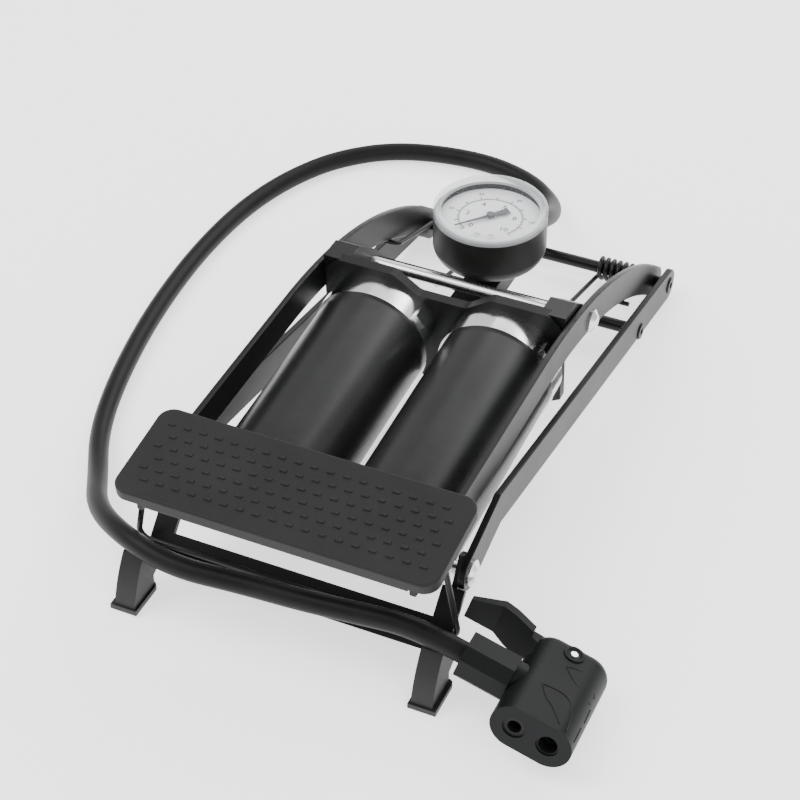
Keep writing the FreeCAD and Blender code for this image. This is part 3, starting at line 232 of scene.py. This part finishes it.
def hose_finish():
    """Black extruded rubber with a faint mottle in tone and gloss, and a fine grain."""
    finish = Finish("hose_rubber")
    cloud = finish.noise(45, 4, 0.6)
    fine = finish.noise(1600, 2)
    colour = finish.ramp(cloud, [(0.3, (0.006, 0.006, 0.0065)), (0.7, (0.01, 0.0102, 0.0105))])
    finish.set(Base_Color=colour, Roughness=finish.band(cloud, 0.38, 0.5),
               Specular_IOR_Level=0.13)
    finish.bump(fine, 0.00002)
    return finish.material


def chrome_finish():
    """Plated band: bright, with faint brushed lines and smudges."""
    finish = Finish("chrome")
    lines = finish.noise(700, 2, 0.5, (1, 14, 1))
    smudge = finish.noise(55, 4, 0.6)
    colour = finish.ramp(smudge, [(0.3, (0.86, 0.87, 0.88)), (0.7, (0.94, 0.94, 0.95))])
    finish.set(Base_Color=colour, Roughness=finish.band(smudge, 0.08, 0.2) + lines * 0.06, Metallic=1.0)
    finish.bump(lines, 0.00001)
    return finish.material


def lens_finish():
    """Clear moulded cover: thin over the dial; its raised outer ring is real, and its whitish, partly opaque
    tint is a painted highlight.
    """
    finish = Finish("clear_lens")
    haze = finish.noise(60, 3, 0.6)
    spot = finish.place()
    parts = finish.tree.nodes.new("ShaderNodeSeparateXYZ")
    finish.feed(parts.inputs[0], spot)
    across, along = Value(finish, parts.outputs[0]), Value(finish, parts.outputs[1]) - GAUGE_CENTRE[1] * MM
    # past the dial's edge the lens turns whitish and partly opaque: a painted highlight on the raised outer
    # ring
    painted_ring_highlight = (across * across + along * along).above(0.0232 ** 2)
    finish.set(Base_Color=(0.9, 0.92, 0.94), Roughness=finish.band(haze, 0.02, 0.05),
               Alpha=painted_ring_highlight * 0.33 + 0.02)
    return finish.material


def floor_finish():
    """Matt white paper, lit a little from within so that it stays pale."""
    finish = Finish("white_floor")
    fibre = finish.noise(300, 3, 0.6)
    finish.set(Base_Color=finish.ramp(fibre, [(0.3, (0.93, 0.93, 0.93)), (0.7, (0.95, 0.95, 0.95))]),
               Roughness=0.8, Emission_Color=(1, 1, 1), Emission_Strength=1.3)
    return finish.material


NODE_FINISH = {
    "powder_coat": ["left_base_rail", "right_base_rail", "rear_hinge_rod", "base_cross_rod",
                    "stand_crossbar", "left_stand_leg", "right_stand_leg", "left_lever_arm",
                    "right_lever_arm", "pedal_plate", "head_bracket"],
    "zinc_plate": ["front_pivot_pin", "cylinder_pivot_rod", "thumb_lever_pin", "left_piston_rod",
                   "right_piston_rod"],
    "moulded_foot": ["left_foot", "right_foot", "left_mouth_cap", "right_mouth_cap"],
    "spring_wire": ["left_spring_coil", "right_spring_coil", "left_spring_hook", "right_spring_hook",
                    "locking_wire"],
    "moulded_valve": ["hose_collar", "valve_head_body", "valve_thumb_lever"],
    "seal_rubber": ["port_seals", "left_piston_seal", "right_piston_seal", "left_check_valve",
                    "right_check_valve"],
    "pad_rubber": ["pedal_pad"],
    "barrel_paint": ["left_barrel", "right_barrel"],
    "chrome": ["left_crimp_ring", "right_crimp_ring", "hose_ferrule"],
    "cast_alloy": ["left_barrel_head", "right_barrel_head", "left_piston", "right_piston",
                   "dial_screws"],
    "gauge_case": ["gauge_cup", "gauge_stem", "air_manifold"],
    "brass": ["gauge_movement", "bourdon_tube", "hose_fitting"],
    "clear_lens": ["gauge_lens"],
    "dial_face": ["gauge_dial"],
    "needle_paint": ["gauge_needle"],
    "hose_rubber": ["hose"],
}


def paint(item, finish):
    if not item.material_slots:
        item.data.materials.append(finish)
    for material_slot in item.material_slots:
        material_slot.material = finish


# ---------------------------------------------------------------- modelling helpers


def settle(item, name, finish, body):
    """Put an item's place into its mesh, then name, paint and hand it to its body."""
    bpy.ops.object.select_all(action="DESELECT")
    item.select_set(True)
    bpy.context.view_layer.objects.active = item
    if item.type in ("FONT", "CURVE"):
        bpy.ops.object.convert(target="MESH")
        item = bpy.context.object
    bpy.ops.object.transform_apply(location=True, rotation=True, scale=True)
    item.name = name
    item.data.name = name
    item.data.materials.clear()
    item.data.materials.append(FINISHES[finish])
    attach(item, body)
    return item


def fresh(adder, **settings):
    bpy.ops.object.select_all(action="DESELECT")
    adder(**settings)
    return bpy.context.object


def use(item, kind, **settings):
    """Add a modifier with its settings and apply it."""
    modifier = item.modifiers.new(kind.lower(), kind)
    for field, setting in settings.items():
        setattr(modifier, field, setting)
    bpy.context.view_layer.objects.active = item
    bpy.ops.object.modifier_apply(modifier=modifier.name)


def pick_faces(item, wanted):
    """Open the piece for editing with only the wanted faces selected."""
    bpy.context.view_layer.objects.active = item
    bpy.context.tool_settings.mesh_select_mode = (False, False, True)
    for group in (item.data.vertices, item.data.edges):
        for member in group:
            member.select = False
    for face in item.data.polygons:
        face.select = wanted(face)
    bpy.ops.object.mode_set(mode="EDIT")


def close_edit():
    bpy.ops.object.mode_set(mode="OBJECT")


def put(item, matrix):
    """Carry a piece modelled in its own frame, in millimetres, to its place in metres."""
    item.matrix_world = Matrix.Scale(MM, 4) @ matrix @ item.matrix_world


def tube(name, points, radius, sides=10):
    """A round wire along points, as a curve."""
    data = bpy.data.curves.new(name, "CURVE")
    data.dimensions = "3D"
    data.bevel_depth = radius
    data.bevel_resolution = sides
    data.use_fill_caps = True
    spline = data.splines.new("NURBS")
    spline.points.add(len(points) - 1)
    for spot, point in zip(spline.points, points):
        spot.co = (*point, 1)
    spline.order_u = 3
    spline.use_endpoint_u = True
    spline.resolution_u = 8
    item = bpy.data.objects.new(name, data)
    bpy.context.scene.collection.objects.link(item)
    return item


# ---------------------------------------------------------------- hose

HOSE_ROUTE = [
    (0, 98.5, 38), (0, 120, 38), (1, 145, 30.5), (-2, 170, 17), (-11, 193, 7.2),
    (-31, 211.5, 4.8), (-62, 219, 4.8), (-105, 211, 4.8), (-132.6, 189.3, 4.8),
    (-148.6, 160.7, 4.8), (-157.9, 126.5, 4.8), (-160.6, 86, 4.8), (-158.6, 46.2, 4.8),
    (-153.6, 8, 4.8), (-144.5, -33.8, 4.8), (-134, -65, 4.8), (-117, -94, 9.5),
    (-99.5, -123.5, 21.2), (-73, -143.5, 31), (-46, -150, 29.8), (-18, -146.5, 29.2),
    (10, -145.4, 29.6), (36, -144.8, 32), (60.4, -143.1, 33.03), (81.5, -143.1, 26.9),
]
HOSE_DIAMETER = 0.0094


def make_hose():
    points = [Vector(point) * MM for point in HOSE_ROUTE]
    hose = tube("hose_tube", points, HOSE_DIAMETER / 2)
    hose.data.materials.append(FINISHES["hose_rubber"])
    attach(hose, "base")
    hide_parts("hose")


def make_hose_sleeve():
    """The tapered sleeve that keeps the hose from kinking behind its ferrule."""
    sleeve = fresh(bpy.ops.mesh.primitive_cone_add, vertices=48, radius1=6.8, radius2=5.3, depth=24,
                   location=(0, 112, 38), rotation=(-math.pi / 2, 0, 0))
    pick_faces(sleeve, lambda face: abs(face.normal.z) > 0.9)
    bpy.ops.mesh.inset(thickness=0.35)
    close_edit()
    use(sleeve, "BEVEL", width=0.3, segments=3, limit_method="ANGLE")
    bpy.ops.object.shade_smooth_by_angle(angle=0.6)
    put(sleeve, Matrix())
    settle(sleeve, "hose_sleeve", "hose_rubber", "base")


# ---------------------------------------------------------------- pedal pad

PAD_PLACE = Matrix.Translation((0, -103.5, 68.35)) @ Matrix.Rotation(math.radians(8.2), 4, "X")
PAD_TOP = 5.2
STUD_COLUMNS, STUD_ROWS = 18, 6
STUD_ACROSS, STUD_ALONG = 7.3, 6.2


def make_stud_rows():
    """Low cross ribs in staggered rows, inside the plain border of the pad."""
    for parity in (0, 1):
        first = (-STUD_ACROSS * (STUD_COLUMNS - 1) / 2 - 1.8 + 3.6 * parity, -9 - STUD_ALONG * parity,
                 PAD_TOP)
        rows = fresh(bpy.ops.mesh.primitive_cube_add, size=1, location=first, scale=(3.2, 1.4, 0.7))
        bpy.ops.object.transform_apply(location=False, rotation=False, scale=True)
        pick_faces(rows, lambda face: face.normal.z > 0.9)
        bpy.ops.mesh.inset(thickness=0.35)
        bpy.ops.transform.translate(value=(0, 0, 0.1))
        close_edit()
        use(rows, "BEVEL", width=0.15, segments=2)
        use(rows, "ARRAY", count=STUD_COLUMNS, use_relative_offset=False, use_constant_offset=True,
            constant_offset_displace=(STUD_ACROSS, 0, 0))
        use(rows, "ARRAY", count=STUD_ROWS // 2, use_relative_offset=False, use_constant_offset=True,
            constant_offset_displace=(0, -2 * STUD_ALONG, 0))
        put(rows, PAD_PLACE)
        settle(rows, "pad_studs_%d" % parity, "pad_rubber", "lever")


# ---------------------------------------------------------------- gauge printing

ZERO_ANGLE, FULL_ANGLE = 237.5, -35.5
DIAL_TURN = math.radians(11)


def on_dial(reading, radius, full_scale=10.0):
    """A place on the dial for a reading, at a radius from its centre."""
    angle = math.radians(ZERO_ANGLE + (FULL_ANGLE - ZERO_ANGLE) * reading / full_scale)
    return (GAUGE_CENTRE[0] + radius * math.cos(angle), GAUGE_CENTRE[1] + radius * math.sin(angle),
            DIAL_LEVEL + 0.05)


def print_lines(name, lines, thickness):
    """Thin raised lines of ink, each along its own points."""
    data = bpy.data.curves.new(name, "CURVE")
    data.dimensions = "3D"
    data.bevel_depth = thickness / 2 * MM
    data.bevel_resolution = 1
    for points in lines:
        spline = data.splines.new("POLY")
        spline.points.add(len(points) - 1)
        for spot, point in zip(spline.points, points):
            spot.co = (*(Vector(point) * MM), 1)
    item = bpy.data.objects.new(name, data)
    bpy.context.scene.collection.objects.link(item)
    settle(item, name, "print_ink", "cylinders")


def print_number(name, text, reading, radius, size, full_scale=10.0):
    spot = Vector(on_dial(reading, radius, full_scale)) * MM
    number = fresh(bpy.ops.object.text_add, location=spot, rotation=(0, 0, DIAL_TURN))
    number.data.body = text
    number.data.size = size * MM
    number.data.align_x = "CENTER"
    number.data.align_y = "CENTER"
    number.data.extrude = 0.02 * MM
    settle(number, name, "print_ink", "cylinders")


def make_dial_print():
    steps = 50
    print_lines("dial_arc", [[on_dial(10 * step / steps, 14.8) for step in range(steps + 1)]], 0.3)
    print_lines("dial_long_ticks", [[on_dial(mark, 14.8), on_dial(mark, 17.0)] for mark in range(11)], 0.4)
    print_lines("dial_short_ticks", [[on_dial(mark / 5, 14.8), on_dial(mark / 5, 15.9)]
                                     for mark in range(51) if mark % 5], 0.26)
    for mark in range(0, 11, 2):
        print_number("dial_number_%d" % mark, str(mark), mark, 11.2, 4.3)
    for mark in (30, 60, 90, 120):
        print_number("outer_number_%d" % mark, str(mark), mark, 19.6, 2.6, 145.0)


# ---------------------------------------------------------------- valve head details

VALVE_PLACE = Matrix(((0.9603, -0.0427, 0.2757, 81.5), (0, 0.9882, 0.1530, -143.1),
                      (-0.2790, -0.1469, 0.9490, 26.9), (0, 0, 0, 1)))
VALVE_RADIUS = 10.0
NEAR_PORT, FAR_PORT = 31.2, 45.8


def on_valve(x, y):
    """A place on the upper skin of the valve head, in the head's own frame."""
    beyond = max(0.0, x - FAR_PORT, NEAR_PORT - x)
    return VALVE_PLACE @ Vector((x, y, math.sqrt(max(0.0, VALVE_RADIUS ** 2 - beyond ** 2)) + 0.02))


VALVE_LINES = [
    [(38, 11), (44, 13.5), (50, 12.5), (53.5, 6)],
    [(38, 11), (42, 6), (48, 2.5), (53, 1)],
    [(33, -5), (40, -3.5), (46, -6), (49, -14), (49.5, -22)],
    [(33, -5), (36, -11), (41, -14), (46, -21)],
    [(54.2, 0), (54.4, -8)],
    [(54.2, -12), (54.2, -21)],
]


def make_valve_details():
    for number, line in enumerate(VALVE_LINES):
        points = [on_valve(x, y) * MM for x, y in line]
        groove = tube("valve_line_%d" % number, points, 0.28 * MM, sides=3)
        settle(groove, "valve_line_%d" % number, "seal_rubber", "base")
    boss = fresh(bpy.ops.mesh.primitive_cylinder_add, vertices=48, radius=4.4, depth=1.2,
                 location=(38.5, 19.5, 10.0))
    pick_faces(boss, lambda face: face.normal.z > 0.9)
    bpy.ops.mesh.inset(thickness=1.2)
    bpy.ops.mesh.inset(thickness=0.4)
    bpy.ops.transform.translate(value=(0, 0, -0.5))
    close_edit()
    use(boss, "BEVEL", width=0.2, segments=2, limit_method="ANGLE")
    bpy.ops.object.shade_smooth_by_angle(angle=0.6)
    put(boss, VALVE_PLACE)
    settle(boss, "thumb_pin_boss", "moulded_valve", "base")
    # a round neck runs from the collar into the side of the head
    neck = fresh(bpy.ops.mesh.primitive_cylinder_add, vertices=64, radius=8.3, depth=14,
                 location=(24, 0, 0), rotation=(0, math.pi / 2, 0))
    pick_faces(neck, lambda face: abs(face.normal.z) > 0.9)
    bpy.ops.mesh.inset(thickness=0.8)
    close_edit()
    use(neck, "BEVEL", width=0.5, segments=3, limit_method="ANGLE")
    bpy.ops.object.shade_smooth_by_angle(angle=0.6)
    put(neck, VALVE_PLACE)
    settle(neck, "valve_neck", "moulded_valve", "base")


FINISHES = {}
make_camera()
floor = make_studio()
FINISHES.update(make_finishes())
paint(floor, FINISHES["white_floor"])
for finish_name, members in NODE_FINISH.items():
    for member in members:
        paint(nodes[member], FINISHES[finish_name])
make_hose()
make_hose_sleeve()
make_stud_rows()
make_dial_print()
make_valve_details()
